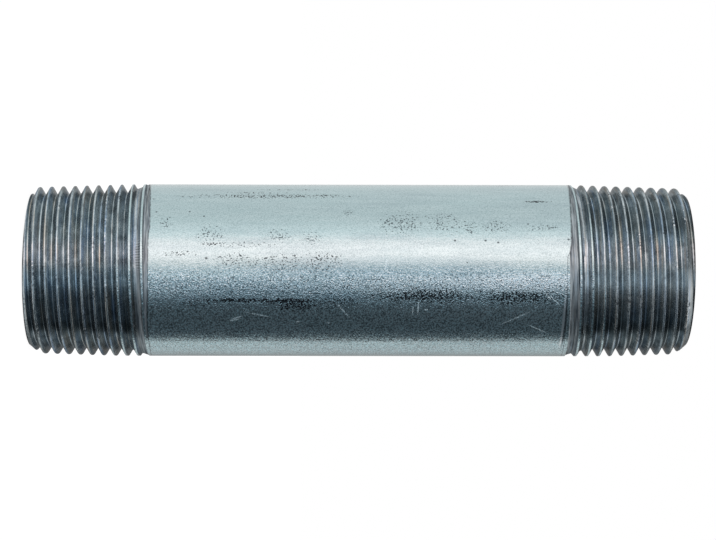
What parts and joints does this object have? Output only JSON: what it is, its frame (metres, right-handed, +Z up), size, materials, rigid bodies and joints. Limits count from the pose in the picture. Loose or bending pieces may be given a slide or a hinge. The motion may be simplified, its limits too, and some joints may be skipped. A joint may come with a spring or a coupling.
{
  "type": "pipe nipple",
  "caption": "Straight galvanized steel pipe nipple: a short length of pipe with a plain barrel and a right-hand taper pipe thread cut on each end, open right through.",
  "frame": {"origin": "on the pipe's axis, in the plane of the lower end face, which is the surface that the nipple stands on", "axes": "+Z up along the pipe's axis, from the lower end face to the upper one; +X is the direction that both thread starts are counted from"},
  "size_m": [0.0266, 0.0266, 0.1016],
  "materials": {
    "galvanized_steel": "hot-dip galvanized barrel, satin and faintly speckled; threads and ends are cut bare steel with a thin bright coat"
  },
  "bodies": {
    "root": {"pipe_nipple": "galvanized_steel"}
  },
  "joints": []
}
